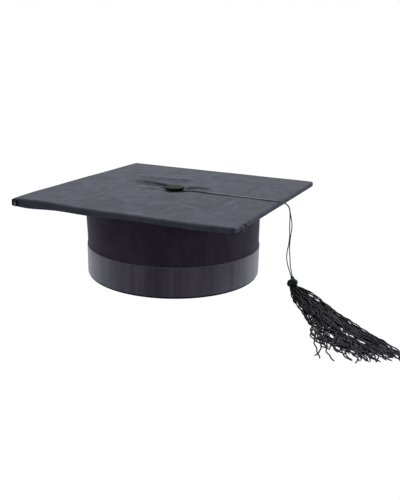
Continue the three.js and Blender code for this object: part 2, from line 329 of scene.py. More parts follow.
def plain_cloth_finish(name, dark, light, sheen, level=False):
    """Plain black cloth with a little unevenness in its dye. Its fine threads run round the crown
    and up it, or along X and Y on a level piece. Round the rim, next to the table, a near-black
    painted shade stands for the contact shadow."""
    finish = Finish(name)
    place, (x, y, z) = finish.place()
    one, other = (x, y) if level else (y.math("ARCTAN2", y, x) * float(CROWN_OUTER), z)
    per_metre = TURN / (0.62 * MM)
    threads = (one * per_metre).sin() * 0.5 + (other * per_metre).sin() * 0.5
    slub = finish.noise(finish.vector(x, y, z * 0.18), 260, 2, 0.6)
    dye = finish.noise(place, 40, 3, 0.55)
    nap = finish.noise(place, 1100, 2, 0.6)
    colour = finish.mix(dye.between(0.3, 0.7) * 0.6 + slub.between(0.3, 0.7) * 0.4, dark, light)
    # painted shade: near black at the foot of the cloth, a contact shadow round the rim
    colour = finish.mix(z.between(2.4 * MM, 3.4 * MM), (0.001, 0.001, 0.0013), colour)
    return finish.set(
        Base_Color=colour,
        Roughness=0.76 + 0.14 * slub,
        Normal=finish.bump(threads * 0.4 + slub * 0.8 + nap * 0.5, 0.12 * MM, 0.5),
        Sheen_Weight=sheen,
        Sheen_Roughness=0.35,
        Sheen_Tint=(0.72, 0.84, 1.0),
        Specular_IOR_Level=0.12,
    )


def fold_cloth_finish():
    """The cover's cloth where it is folded at a corner, with painted light and shade by the piece's
    own map: painted shade in a fold's dark mouth and on its lip, and a painted highlight where the
    cloth is lit."""
    finish = Finish("fold_cloth")
    place = finish.place()[0]
    light = finish.along()[0]
    nap = finish.noise(place, 900, 2, 0.7)
    # painted light and shade: the map's u says how light the cloth is painted
    tone = light * (0.7 + 0.6 * nap)
    colour = finish.mix(tone.between(0.0, 1.0), (0.003, 0.003, 0.004), (0.3, 0.295, 0.31))
    bump = finish.bump(nap, 0.2 * MM, 0.7)
    return finish.set(
        Base_Color=colour, Roughness=0.8 + 0.12 * nap, Normal=bump, Specular_IOR_Level=0.15
    )


def ribbon_finish():
    """Black satin ribbon: fine upright ribs, upright streaks of many widths and a selvedge that is
    firmer and a little lighter."""
    finish = Finish("ribbon_satin")
    x, y, z = finish.place()[1]
    around = y.math("ARCTAN2", y, x)
    ribs = (around * 700.0).sin()
    streaks = finish.noise(finish.vector(x, y, z * 0.05), 170, 3, 0.65)
    broad = finish.noise(finish.vector(x, y, z * 0.12), 38, 2, 0.5)
    middle = (RIBBON_LOW + RIBBON_HIGH) / 2
    from_middle = (z - middle).abs()
    edge = (RIBBON_HIGH - RIBBON_LOW) / 2
    selvedge = from_middle.between(edge - 1.9 * MM, edge - 1.3 * MM)
    tone = streaks.between(0.3, 0.7) * 0.6 + broad.between(0.34, 0.66) * 0.4
    colour = finish.mix(tone, (0.022, 0.0138, 0.027), (0.069, 0.0545, 0.086))
    colour = finish.mix(selvedge * 0.5, colour, (0.07, 0.064, 0.08))
    height = ribs * 0.22 + streaks * 2.2 + selvedge * 0.8
    return finish.set(
        Base_Color=colour,
        Roughness=0.34 + 0.16 * streaks + 0.1 * selvedge,
        Normal=finish.bump(height, 0.11 * MM, 0.7),
        Specular_IOR_Level=0.5,
        Sheen_Weight=0.3,
        Sheen_Roughness=0.28,
        Sheen_Tint=(0.82, 0.86, 1.0),
    )


def twisted_finish(name, dark, light, pitch, plies, roughness, gloss, painted_light_span=None):
    """Twisted rayon: the fibres cross each ply, with painted shade darkening the grooves between the
    plies. Between the two given distances it is painted a lighter grey: painted light that offsets
    the shade of the cord where it runs over the board."""
    finish = Finish(name)
    u, v = finish.along()
    turned = u - v * (1 / pitch)
    groove = (turned * (math.pi * plies)).math("COSINE", turned * (math.pi * plies)).abs()
    fibres = ((u * 14.0 + v * (2.2 / pitch)) * TURN).sin()
    lengthwise = finish.noise(finish.vector(u * 0.002, v, 0.0), 260, 2, 0.5)
    # painted shade: darker in the grooves between the plies, lighter on their crests
    colour = finish.mix(groove.between(0.1, 0.9) * (0.5 + lengthwise), dark, light)
    if painted_light_span:
        start, end = painted_light_span
        # painted light: the cord is painted a lighter grey where it runs over the board, against its shade
        nap = v.between(start, start + 16 * MM) * (1 - v.between(end - 8 * MM, end))
        colour = finish.mix(nap * 0.85, colour, (0.148, 0.15, 0.178))
    return finish.set(
        Base_Color=colour,
        Roughness=roughness + 0.16 * lengthwise,
        Normal=finish.bump(fibres * 0.5 + lengthwise, 0.05 * MM, 0.5),
        Specular_IOR_Level=gloss,
    )


def card_finish():
    """Grey pulp card: flecks of fibre and a soft mottle."""
    finish = Finish("pulp_card")
    place, (x, y, z) = finish.place()
    mottle = finish.noise(place, 70, 4, 0.6)
    flecks = finish.noise(finish.vector(x * 1.8, y * 0.5, z), 700, 2, 0.7)
    colour = finish.mix(mottle, (0.32, 0.30, 0.25), (0.5, 0.47, 0.41))
    colour = finish.mix(flecks.between(0.62, 0.7) * 0.6, colour, (0.16, 0.14, 0.12))
    bump = finish.bump(flecks + mottle * 0.6, 0.1 * MM, 0.5)
    return finish.set(Base_Color=colour, Roughness=0.82 + 0.1 * mottle, Normal=bump)


def wadding_finish():
    """Pale needled wadding: tangled fibres with needle marks."""
    finish = Finish("needled_wadding")
    place = finish.place()[0]
    tangle = finish.noise(place, 420, 5, 0.75)
    loft = finish.noise(place, 60, 3, 0.5)
    colour = finish.mix(tangle, (0.55, 0.54, 0.5), (0.82, 0.81, 0.77))
    bump = finish.bump(tangle + loft, 0.4 * MM, 0.7)
    return finish.set(Base_Color=colour, Roughness=0.9 + 0.08 * loft, Normal=bump, Sheen_Weight=0.4)


def lining_finish():
    """Smooth black lining: a fine weave with a quiet shine and soft creases."""
    finish = Finish("lining_taffeta")
    x, y, z = finish.place()[1]
    weave = (x * (TURN / (0.5 * MM))).sin() + (y * (TURN / (0.5 * MM))).sin()
    creases = finish.noise(finish.vector(x, y, z * 0.4), 55, 3, 0.6)
    colour = finish.mix(creases, (0.018, 0.017, 0.021), (0.042, 0.039, 0.046))
    bump = finish.bump(weave * 0.1 + creases * 2.5, 0.3 * MM, 0.5)
    return finish.set(Base_Color=colour, Roughness=0.42 + 0.2 * creases, Normal=bump)


def sweatband_finish():
    """Black grosgrain: rounded upright ribs, close together, worn lighter on their crests."""
    finish = Finish("grosgrain")
    place, (x, y, _) = finish.place()
    around = y.math("ARCTAN2", y, x)
    ribs = (around * 460.0).sin()
    wear = finish.noise(place, 90, 3, 0.6)
    colour = finish.mix(ribs.between(-0.4, 1.0) * wear, (0.014, 0.013, 0.016), (0.05, 0.047, 0.053))
    bump = finish.bump(ribs + wear * 0.4, 0.16 * MM, 0.8)
    return finish.set(Base_Color=colour, Roughness=0.55 + 0.2 * wear, Normal=bump)


def steel_finish():
    """Pressed steel: drawn streaks, dulled in patches."""
    finish = Finish("pressed_steel")
    place, (x, y, z) = finish.place()
    drawn = finish.noise(finish.vector(x * 6.0, y * 0.6, z * 6.0), 300, 3, 0.6)
    dull = finish.noise(place, 140, 3, 0.6)
    colour = finish.mix(dull, (0.42, 0.41, 0.39), (0.62, 0.61, 0.59))
    bump = finish.bump(drawn, 0.03 * MM, 0.4)
    return finish.set(Base_Color=colour, Roughness=0.24 + 0.3 * drawn, Metallic=1.0, Normal=bump)


# Dark and light of each black
CROWN_BLACK = ((0.030, 0.0195, 0.034), (0.051, 0.0385, 0.058))
BUTTON_BLACK = ((0.0008, 0.0009, 0.0018), (0.0022, 0.0025, 0.0045))
CORD_BLACK = ((0.009, 0.009, 0.011), (0.05, 0.05, 0.058))
YARN_BLACK = ((0.001, 0.0007, 0.0015), (0.012, 0.0085, 0.0145))
HEAD_BLACK = ((0.006, 0.006, 0.007), (0.034, 0.036, 0.036))
THREAD_BLACK = ((0.012, 0.012, 0.013), (0.04, 0.04, 0.043))

FINISHES = {
    "board_cloth": board_cloth_finish(),
    "crown_cloth": plain_cloth_finish("crown_cloth", *CROWN_BLACK, 0.19),
    "facing_cloth": plain_cloth_finish("facing_cloth", *CROWN_BLACK, 0.19, level=True),
    "button_cloth": plain_cloth_finish("button_cloth", *BUTTON_BLACK, 0.0, level=True),
    "fold_cloth": fold_cloth_finish(),
    "satin": ribbon_finish(),
    "cord": twisted_finish("cord_rayon", *CORD_BLACK, CORD_PITCH, 3, 0.45, 0.18, CORD_PAINTED_LIGHT),
    "yarn": twisted_finish("yarn_rayon", *YARN_BLACK, YARN_PITCH, 2, 0.36, 0.1),
    "head_yarn": twisted_finish("head_yarn", *HEAD_BLACK, YARN_PITCH, 2, 0.45, 0.15),
    "thread": twisted_finish("thread", *THREAD_BLACK, THREAD_PITCH, 2, 0.5, 0.3),
    "card": card_finish(),
    "wadding": wadding_finish(),
    "lining": lining_finish(),
    "sweatband": sweatband_finish(),
    "metal": steel_finish(),
}


# ---------------------------------------------------------------- surfaces


def smooth(values):
    """0 below 0, 1 above 1, and 3v^2 - 2v^3 between them."""
    v = np.clip(values, 0, 1)
    return v * v * (3 - 2 * v)


def grid(rows, columns, close_rows=False, close_columns=False):
    """Corner numbers of a grid's quads, points numbered row by row, and each corner's row and
    column, which run on past the last one where the grid closes."""
    r = np.arange(rows if close_rows else rows - 1)[:, None]
    c = np.arange(columns if close_columns else columns - 1)[None, :]
    at_row = np.stack([r + 0 * c, r + 0 * c, r + 1 + 0 * c, r + 1 + 0 * c], -1).reshape(-1, 4)
    at_column = np.stack([c + 0 * r, c + 1 + 0 * r, c + 1 + 0 * r, c + 0 * r], -1).reshape(-1, 4)
    return (at_row % rows) * columns + at_column % columns, at_row, at_column


def make_mesh(name, points, faces, uv=None):
    """A mesh from an array of points and arrays of faces, each with its own number of corners."""
    mesh = bpy.data.meshes.new(name)
    mesh.vertices.add(len(points))
    mesh.vertices.foreach_set("co", np.asarray(points, np.float32).ravel())
    corners = np.concatenate([f.ravel() for f in faces])
    sizes = np.concatenate([np.full(len(f), f.shape[1]) for f in faces])
    mesh.loops.add(len(corners))
    mesh.loops.foreach_set("vertex_index", corners.astype(np.int32))
    mesh.polygons.add(len(sizes))
    mesh.polygons.foreach_set("loop_start", (np.cumsum(sizes) - sizes).astype(np.int32))
    mesh.update(calc_edges=True)
    if uv is not None:
        mesh.uv_layers.new(name="UVMap").data.foreach_set("uv", np.asarray(uv, np.float32).ravel())
    mesh.polygons.foreach_set("use_smooth", np.ones(len(sizes), bool))
    return mesh


def add_piece(name, surface, finish, body, nodes=(), wall=0.0):
    """A surface, its points, faces and perhaps its map, as a piece of the object. It rides on a body
    or, without one, on nothing, and an open sheet gets a wall behind it."""
    piece = add_object(name, make_mesh(name, *surface))
    piece.data.materials.append(FINISHES[finish])
    if wall:
        backing = piece.modifiers.new("wall", "SOLIDIFY")
        backing.thickness = wall
        backing.offset = -1
    if body:
        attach(piece, body)
    if nodes:
        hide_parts(*nodes)
    return piece


def outward(points, faces):
    """The faces of a closed surface, turned over if they enclose a negative volume."""
    a, b, c = (points[faces[0][:, k]] for k in range(3))
    d = points[faces[0][:, -1]]
    volume = np.einsum("ij,ij->", a, np.cross(b, c))
    if faces[0].shape[1] == 4:
        volume += np.einsum("ij,ij->", a, np.cross(c, d))
    return [f[:, ::-1] for f in faces] if volume < 0 else faces


def closed_rings(rings):
    """The surface through rings of points, closed round each ring and from the last to the first."""
    points = np.stack(rings).reshape(-1, 3)
    return points, outward(points, [grid(len(rings), len(rings[0]), True, True)[0]])


def around_axis(profile, columns, shape):
    """A closed profile of (radius, height) points carried round +Z: each ring's point is
    (r cos a, r sin a, z), and shape moves r and z by angle."""
    angle = np.arange(columns) / columns * TURN
    radius, height = (np.repeat(side[:, None], columns, 1) for side in np.array(profile).T)
    radius, height = shape(radius, height, angle[None, :])
    return closed_rings(np.stack([radius * np.cos(angle), radius * np.sin(angle), height], -1))


def quarter_turn(count):
    """The matrix that turns a plan by quarters, +X towards +Y."""
    return np.linalg.matrix_power(np.array([[0, -1], [1, 0]]), count)


def line_through(points, count):
    """A smooth line through the points: on each stretch a cubic whose ends have the slope of the
    chord between the neighbours, by distance along the chords. Evenly spaced, count points."""
    points = np.asarray(points, float)
    steps = np.sqrt(np.linalg.norm(np.diff(points, axis=0), axis=1))
    at = np.concatenate([[0], np.cumsum(steps)])
    slope = np.gradient(points, at, axis=0)
    fine = np.linspace(0, at[-1], count * 4)
    i = np.clip(np.searchsorted(at, fine, "right") - 1, 0, len(at) - 2)
    gap = (at[i + 1] - at[i])[:, None]
    t = ((fine - at[i])[:, None]) / gap
    line = (
        (2 * t**3 - 3 * t**2 + 1) * points[i]
        + (t**3 - 2 * t**2 + t) * gap * slope[i]
        + (3 * t**2 - 2 * t**3) * points[i + 1]
        + (t**3 - t**2) * gap * slope[i + 1]
    )
    return evenly(line, count)


def evenly(line, count):
    """The same line with count points at equal distances."""
    along = np.concatenate([[0], np.cumsum(np.linalg.norm(np.diff(line, axis=0), axis=1))])
    at = np.linspace(0, along[-1], count)
    return np.stack([np.interp(at, along, line[:, k]) for k in range(3)], -1)


def rope(line, radius, plies, pitch, sides, reference, groove=0.26, taper=0.0):
    """A twisted rope on a line: ring points lie at radius * (1 - groove + groove |cos(plies (a -
    turn) / 2)|) round it, where turn grows by one full turn every pitch. The rings' axes are the
    reference direction made square to the line. Over its last stretch, taper metres long, it
    narrows to 0.35 of itself. Closed at both ends by a middle point."""
    tangent = np.gradient(line, axis=0)
    tangent /= np.linalg.norm(tangent, axis=1)[:, None]
    reference = np.asarray(reference, float)
    side = reference - (tangent @ reference)[:, None] * tangent
    side /= np.linalg.norm(side, axis=1)[:, None]
    other = np.cross(tangent, side)
    along = np.concatenate([[0], np.cumsum(np.linalg.norm(np.diff(line, axis=0), axis=1))])
    angle = np.arange(sides) / sides * TURN
    twisted = angle[None, :] - (along / pitch * TURN)[:, None]
    swell = radius * (1 - groove + groove * np.abs(np.cos(plies * twisted / 2)))
    if taper:
        swell = swell * (0.35 + 0.65 * smooth((along[-1] - along) / taper))[:, None]
    ring = np.cos(angle)[None, :, None] * side[:, None] + np.sin(angle)[None, :, None] * other[:, None]
    points = (line[:, None] + swell[..., None] * ring).reshape(-1, 3)
    rows = len(line)
    quads, at_row, at_column = grid(rows, sides, False, True)
    column = np.arange(sides)
    first, last = rows * sides, rows * sides + 1
    start = np.stack([(column + 1) % sides, column, np.full(sides, first)], -1)
    end = np.stack([column, (column + 1) % sides, np.full(sides, 0)], -1) + (rows - 1) * sides
    end[:, 2] = last
    points = np.concatenate([points, line[:1], line[-1:]])
    uv = np.stack([at_column / sides, along[at_row]], -1).reshape(-1, 2)
    cap = np.stack([np.stack([column, column + 1, column + 0.5], -1) / sides] * 2).reshape(-1)
    cap_uv = np.stack([cap, np.repeat([0, along[-1]], 3 * sides)], -1)
    return points, [quads, start, end], np.concatenate([uv, cap_uv])


def join(parts):
    """Several surfaces as one: their points in a row, and their faces' numbers moved along."""
    offset = np.cumsum([0] + [len(p[0]) for p in parts])
    quads = np.concatenate([p[1][0] + n for p, n in zip(parts, offset)])
    caps = [f + n for p, n in zip(parts, offset) for f in p[1][1:]]
    quad_uv = [p[2][: p[1][0].size] for p in parts]
    cap_uv = [p[2][p[1][0].size :] for p in parts]
    faces = [quads] + ([np.concatenate(caps)] if caps else [])
    return np.concatenate([p[0] for p in parts]), faces, np.concatenate(quad_uv + cap_uv)


# ---------------------------------------------------------------- cord


def strand_line(side):
    """One strand of the doubled cord: half of the loop round the shank, then its side of the
    route, down to the knot."""
    turn = np.radians(np.linspace(180, 62, 7)) * side
    loop = np.stack([np.cos(turn), np.sin(turn), 0 * turn], -1) * LOOP_RADIUS
    loop[:, 2] = LOOP_LEVEL
    x, y, z, across_x, across_y = np.array(RUN_ROUTE + DROP_ROUTE).T * MM
    route = np.stack([x + side * across_x, y + side * across_y, z], -1)
    return line_through(np.concatenate([loop, route]), 900)


def add_cord():
    """The two strands of the cord, each one twisted rope from the shank to the knot."""
    for name, side, nodes in (
        ("cord_strand_left", 1, ("cord_loop", "cord_run_left", "cord_drop_left")),
        ("cord_strand_right", -1, ("cord_run_right", "cord_drop_right")),
    ):
        line = strand_line(side)
        surface = rope(line, CORD / 2, 3, CORD_PITCH, 12, (0.0, 1.0, 0.12), 0.2)
        strand = add_piece(name, surface, "cord", None, nodes)
        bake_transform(strand)


# ---------------------------------------------------------------- tassel


def from_tassel(points):
    """Points in the tassel's own axes, +X along the skirt, placed in the frame."""
    c, s = math.cos(BEARING), math.sin(BEARING)
    turn = np.array([[c, -s, 0], [s, c, 0], [0, 0, 1]])
    return points @ turn.T + FOOT


def head_axes():
    """The head's three directions in the tassel's axes: across the tilt, sideways, and along its
    axis towards the skirt."""
    tilt = HEAD["tilt"]
    along = np.array([math.sin(tilt), 0, -math.cos(tilt)])
    return np.array([math.cos(tilt), 0, math.sin(tilt)]), np.array([0, 1.0, 0]), along


def add_knot():
    """A small overhand knot: a rope on the trefoil (sin t + 2 sin 2t, cos t - 2 cos 2t,
    -1.5 sin 3t)."""
    t = np.linspace(0, TURN, 160)
    x = np.sin(t) + 2 * np.sin(2 * t)
    y = np.cos(t) - 2 * np.cos(2 * t)
    trefoil = np.stack([x, y, -1.5 * np.sin(3 * t)], -1)
    line = trefoil * 0.5 * MM + np.array([0.5 * MM, 0, KNOT_HEIGHT])
    points, faces, uv = rope(line, CORD * 0.5, 3, CORD_PITCH, 12, (0.05, 0.1, 1.0), 0.2)
    surface = (from_tassel(points), faces, uv)
    return add_piece("tassel_knot_tied", surface, "cord", "tassel", ["tassel_knot"])


def add_head():
    """The wound head: yarn laid in turns that run over the barrel from end to end, each plane
    leaning and stepping round the axis, over a solid core that closes the gaps."""
    across, sideways, along = head_axes()
    t = np.linspace(0, 1, HEAD_WRAPS * 30)
    a = TURN * HEAD_WRAPS * t
    step = math.pi * t * 2.0
    lean = 0.62 + 0.22 * np.sin(5 * math.pi * t)
    one = np.stack([np.cos(step), np.sin(step), 0 * t], -1)
    other = np.stack([-np.sin(step) * np.sin(lean), np.cos(step) * np.sin(lean), np.cos(lean)], -1)
    ball = np.cos(a)[:, None] * one + np.sin(a)[:, None] * other
    size = np.array([HEAD["radius"], HEAD["radius"], HEAD["half"]]) - YARN * 0.45
    lumps = 1 + 0.05 * np.sin(7 * a / HEAD_WRAPS * 3) + 0.03 * np.sin(a * 2.3)
    around = np.arctan2(ball[:, 1], ball[:, 0])
    lobes = 0.09 * np.sin(2 * around + 0.5) + 0.07 * np.sin(3 * around + 2.0)
    lumps = lumps + lobes * (1 - ball[:, 2] ** 2)
    wound = ball * size * lumps[:, None]
    line = HEAD["middle"] + wound @ np.array([across, sideways, along])
    windings = rope(line, YARN * 0.52, 2, YARN_PITCH, 8, (0.31, 0.17, 0.94))
    rows, columns = 14, 28
    tall = (np.arange(1, rows) / rows * math.pi)[:, None]
    wide = (np.arange(columns) / columns * TURN)[None, :]
    x, y = np.sin(tall) * np.cos(wide), np.sin(tall) * np.sin(wide)
    core = np.stack([x, y, np.cos(tall) + 0 * wide], -1)
    ends = np.array([[0, 0, 1.0], [0, 0, -1.0]])
    core = np.concatenate([core.reshape(-1, 3), ends]) * (size - YARN * 0.3)
    quads, at_row, at_column = grid(rows - 1, columns, False, True)
    column = np.arange(columns)
    top = np.stack([(column + 1) % columns, column, 0 * column + len(core) - 2], -1)
    base = (rows - 2) * columns
    foot = np.stack([base + column, base + (column + 1) % columns, 0 * column + len(core) - 1], -1)
    place = HEAD["middle"] + core @ np.array([across, sideways, along])
    uv = np.stack([at_column / columns, at_row * MM], -1).reshape(-1, 2)
    cap_uv = np.zeros((6 * columns, 2))
    faces = outward(place, [quads, np.concatenate([top, foot])])
    points, faces, uv = join([windings, (place, faces, np.concatenate([uv, cap_uv]))])
    surface = (from_tassel(points), faces, uv)
    return add_piece("tassel_head_wound", surface, "head_yarn", "tassel", ["tassel_head"])


def add_neck():
    """The binding under the head: a helix of four turns of thread round the head's axis."""
    across, sideways, along = head_axes()
    turns = 4
    t = np.linspace(0, 1, turns * 40)
    a = TURN * turns * t
    radius = 3.0 * MM
    climb = HEAD["half"] + (0.6 + 2.0 * t) * MM
    helix = np.stack([radius * np.cos(a), radius * np.sin(a), climb], -1)
    line = HEAD["middle"] + helix @ np.array([across, sideways, along])
    points, faces, uv = rope(line, 0.3 * MM, 2, THREAD_PITCH, 8, (0.62, 0.05, -0.78))
    surface = (from_tassel(points), faces, uv)
    return add_piece("tassel_neck_bound", surface, "thread", "tassel", ["tassel_neck"])


# The skirt by distance along its yarns, in millimetres: how far out it has come, its middle's
# height, half its height, and how far it reaches to its left and to its right.
SKIRT_AT = [0, 6, 14, 24, 40, 65, 92, 115, 133, 160, 178]
SKIRT_OUT = [2.2, 5.6, 12.0, 22.0, 38.0, 63.0, 90.0, 113.0, 131.0, 158.0, 176.0]
SKIRT_MIDDLE = [10.3, 6.4, 4.8, 4.3, 4.2, 4.2, 3.8, 3.1, 2.3, 1.2, 0.9]
SKIRT_DEPTH = [3.0, 3.6, 3.9, 3.8, 3.7, 3.7, 3.3, 2.6, 1.8, 0.7, 0.5]
SKIRT_LEFT = [3.2, 3.8, 5.0, 5.6, 6.4, 10.0, 13.5, 19.0, 24.0, 27, 29]
SKIRT_RIGHT = [3.2, 4.2, 6.2, 7.2, 8.4, 13.0, 17.0, 20.0, 25.0, 34, 37]
YARN_STEPS = 250
YARNS_IN_HEAP = 60
YARNS_LOOSE = 26
YARNS_SINGLE = 36  # yarns that are pieces of their own
YARNS_TO_BUNDLE = 40


def yarn_lines(count, random, left, right, wander):
    """Paths of the skirt's yarns in the tassel's axes. Each keeps its own place across the heap,
    (c, h) on a half disc scaled by the skirt's reach and depth, and on top of that it drifts
    slowly, crimps in three small waves, gathers with its neighbours near its end and curls there.
    The last step averages each point with its eight nearest."""
    share = np.linspace(0, 1, YARN_STEPS)[None, :]
    c = random.uniform(left, right, (count, 1))
    h = random.uniform(-1, 1, (count, 1)) * np.sqrt(1 - 0.8 * c**2)
    tip = np.interp(c, [-1, -0.6, -0.2, 0.3, 0.7, 1], [134, 148, 161, 169, 168, 158])
    length = tip + random.uniform(-15, 4, (count, 1))
    at = share * length
    drift_length = random.uniform(60, 130, (count, 1))
    drift = wander * np.sin(TURN * (at / drift_length + random.random((count, 1))))
    clump = np.round((c + 0.08) * 4.5) / 4.5 + random.normal(0, 0.035, (count, 1))
    gather = smooth((at - 95) / 50) * 0.85
    c_now = c + (clump - c) * gather + drift * smooth(at / 50)
    left_reach, right_reach = (np.interp(at, SKIRT_AT, side) for side in (SKIRT_LEFT, SKIRT_RIGHT))
    reach = np.where(c_now < 0, left_reach, right_reach)
    wave = np.zeros_like(at)
    lift = np.zeros_like(at)
    for shortest, longest, size in ((6.8, 9.5, 0.4), (11.5, 16, 0.65), (22, 40, 1.3)):
        phase = random.random((2, count, 1)) * TURN
        per_mm = TURN / random.uniform(shortest, longest, (count, 1))
        strength = size * random.uniform(0.35, 1.1, (count, 1)) * smooth((at - 4) / 45)
        wave = wave + strength * np.sin(at * per_mm + phase[0])
        lift = lift + 0.45 * strength * np.sin(at * per_mm * 0.83 + phase[1])
    from_end = np.clip(1 - (length - at) / 20, 0, 1)
    curl = random.normal(0, 3.2, (count, 1)) * from_end**2
    x = np.interp(at, SKIRT_AT, SKIRT_OUT) - np.abs(curl) * 0.25
    y = c_now * reach + wave + curl
    z = np.interp(at, SKIRT_AT, SKIRT_MIDDLE) + h * np.interp(at, SKIRT_AT, SKIRT_DEPTH) + lift
    floor = YARN / MM * 0.5
    z = floor + np.logaddexp(0, (z - floor) * 3) / 3
    lines = np.stack([x, y, z], -1) * MM
    window = np.hanning(9) / np.hanning(9).sum()
    padded = np.concatenate([lines[:, :1].repeat(4, 1), lines, lines[:, -1:].repeat(4, 1)], 1)
    return sum(w * padded[:, k : k + YARN_STEPS] for k, w in enumerate(window))


# Yarns that stray from the heap, in millimetres in the tassel's axes
STRAYS = [
    [[4, -2, 6.5], [12, -4.8, 3], [25, -7.6, 1.4], [38, -8.6, 0.8], [64, -9.6, 0.7], [76, -11, 0.7],
     [86, -14, 0.7], [95, -18.6, 0.7], [108, -23.6, 0.7], [119, -22.6, 0.9], [131, -17, 1.4]],
    [[4, -1.5, 7], [14, -4.4, 4], [28, -7.4, 2], [46, -9.4, 0.8], [62, -10.8, 0.7], [82, -12.4, 0.7],
     [100, -17, 0.7], [118, -25, 0.7], [136, -30, 0.7], [149, -33.6, 0.7]],
    [[4, -1, 7], [14, -4.4, 4], [30, -6.4, 2.4], [52, -7.4, 1.4], [74, -12.6, 0.7], [92, -12, 0.7],
     [112, -15, 1.3], [128, -23.4, 0.7], [138, -29.4, 0.7], [143, -36, 0.7]],
    [[4, -1, 7], [16, -4, 4], [34, -6, 2.6], [60, -7, 1.8], [84, -13, 0.8], [104, -21, 0.7],
     [122, -18, 1.3], [138, -22.5, 0.7], [155.7, -24, 0.7]],
    [[4, 2, 8.2], [12, 5.6, 8.8], [22, 8.2, 9.4], [37, 10, 10], [52, 11.4, 9.2], [66, 14.4, 7.4],
     [84, 15.6, 6.6], [104, 17, 5], [126, 21, 3], [148, 26, 1.2], [157, 29, 0.8]],
    [[4, 1.6, 8.2], [14, 6, 8.6], [30, 8.8, 8.8], [54, 12, 8.2], [80, 15.4, 7.4], [95, 19, 7],
     [107, 22, 6], [117, 25.4, 4.6], [127, 30, 2.8], [136, 34.5, 1.2]],
    [[4, 1.2, 8.2], [14, 5, 8.6], [32, 8, 8.6], [56, 11.2, 8], [82, 14.8, 7], [97, 17.8, 6.6],
     [109, 20.8, 5.4], [120, 26, 3.4], [136.6, 33, 0.9]],
    [[4, 1, 8], [16, 5, 8], [40, 8, 7], [70, 13, 6], [98, 17, 4.6], [120, 23, 3], [138, 30, 1.4],
     [154, 38, 0.8]],
    [[4, 1, 7.4], [16, 5, 7.4], [40, 7, 6.4], [70, 12, 5.4], [98, 15.6, 4.4], [122, 22, 2.8],
     [142, 28.6, 1.2], [160.6, 34, 0.8]],
    [[4, -0.6, 7], [16, -3, 5], [40, -4, 4], [68, -5.4, 3], [92, -9, 1.6], [114, -12, 1],
     [132, -8, 0.9], [146, -11.4, 0.7], [158, -9.6, 0.7]],
]


def add_skirt():
    """The yarns: those at the front and the strays are pieces of their own, and the rest are
    joined in bundles. All of them ride on the tassel."""
    random = np.random.default_rng(41)
    heap = yarn_lines(YARNS_IN_HEAP, random, left=-0.25, right=1.0, wander=0.2)
    loose = yarn_lines(YARNS_LOOSE, random, left=-0.95, right=0.0, wander=0.36)
    strays = np.stack([line_through(np.array(s) * MM, YARN_STEPS) for s in STRAYS])
    far = np.linspace(0, 1, YARN_STEPS)[None, :]
    kink_count = random.uniform(9, 13, (len(STRAYS), 1))
    kinks = np.sin(far * kink_count * TURN + random.random((len(STRAYS), 1)) * TURN)
    strays[..., 1] += 0.45 * MM * kinks * smooth(far * 6)
    lines = from_tassel(np.concatenate([strays, loose, heap]))
    reference = from_tassel(np.array([[0.1, 0.3, 1.0]]))[0] - FOOT

    def yarn(line):
        return rope(line, YARN / 2, 2, YARN_PITCH, 8, reference, 0.3, taper=2.5 * MM)

    bundles = []
    for number, first in enumerate(range(YARNS_SINGLE, len(lines), YARNS_TO_BUNDLE), 1):
        bundle = join([yarn(line) for line in lines[first : first + YARNS_TO_BUNDLE]])
        bundles.append(add_piece(f"skirt_bundle_{number}", bundle, "yarn", "tassel"))
    for number, line in enumerate(lines[:YARNS_SINGLE], 1):
        nodes = ["tassel_skirt"] if number == 1 else []
        piece = add_piece(f"skirt_yarn_{number:02d}", yarn(line), "yarn", "tassel", nodes)
        bundles if number == YARNS_SINGLE else ()


# ---------------------------------------------------------------- board


def warp(x, y):
    """How far the board's outer part stands off its plane, in metres: the front edge sags and
    ripples between its corners, the left edge lifts a little, the front left corner droops, the
    front right one lifts, and all of it fades out towards the crown."""
    x, y = x / MM, y / MM
    front = smooth((-y - 70) / 50)
    left = smooth((-x - 70) / 50)
    sag = -0.9 * np.exp(-((x / 62) ** 2)) * front
    lift = 0.15 * np.exp(-(((y + 5) / 60) ** 2)) * left
    droop = -0.8 * smooth((-x - 85) / 40) * smooth((-y - 85) / 40)
    rise = 0.7 * smooth((x - 80) / 40) * smooth((-y - 80) / 40)
    ripple = 0.35 * np.sin(x / 17 + 0.6) * smooth((-y - 105) / 15)
    return (sag + lift + droop + rise + ripple * smooth((110 - np.abs(x)) / 20)) * MM


def bulk(x, y):
    """How much lower the cover's turned-in cloth hangs where it is bunched along the left half of
    the front edge, in metres: a long low swell, and a higher one near the corner."""
    x, y = x / MM, y / MM
    swell = 1.2 * smooth((20 - x) / 60) + 2.3 * np.exp(-(((x + 98) / 24) ** 2))
    return swell * smooth((-y - 94) / 20) * MM


# Creases in the cover as x, y of their two ends, half width and depth, in millimetres
CREASES = [
    [-11, 7.5, -70, 22, 1.9, 2.9],
    [-14, -6, -42, -16, 1.8, 0.6],
    [-9, 13, -60, 31, 2.2, 1.3],
    [-6, 47, -78, 40, 2.6, 1.9],
    [-4, 66, -58, 62, 3.6, 0.35],
    [9, 13, 38, 18, 1.7, 1.8],
    [12, -8, 36, -24, 2.6, 0.35],
    [2, -15, 10, -46, 3.0, 0.3],
    [-10, -11, -36, -36, 3.0, 0.35],
    [12, 6, 48, 9, 2.2, 0.3],
    [74, -44, 82, 2, 3.2, 0.7],
    [82, 2, 78, 52, 3.2, 0.7],
    [-100, -62, -60, -96, 4.0, 0.3],
    [-88, -30, -44, -62, 4.5, 0.25],
    [30, 66, 88, 84, 4.2, 0.3],
    [40, -60, 92, -76, 4.2, 0.28],
    [-92, 70, -50, 92, 4.0, 0.3],
    [-30, -84, 24, -96, 4.0, 0.22],
]


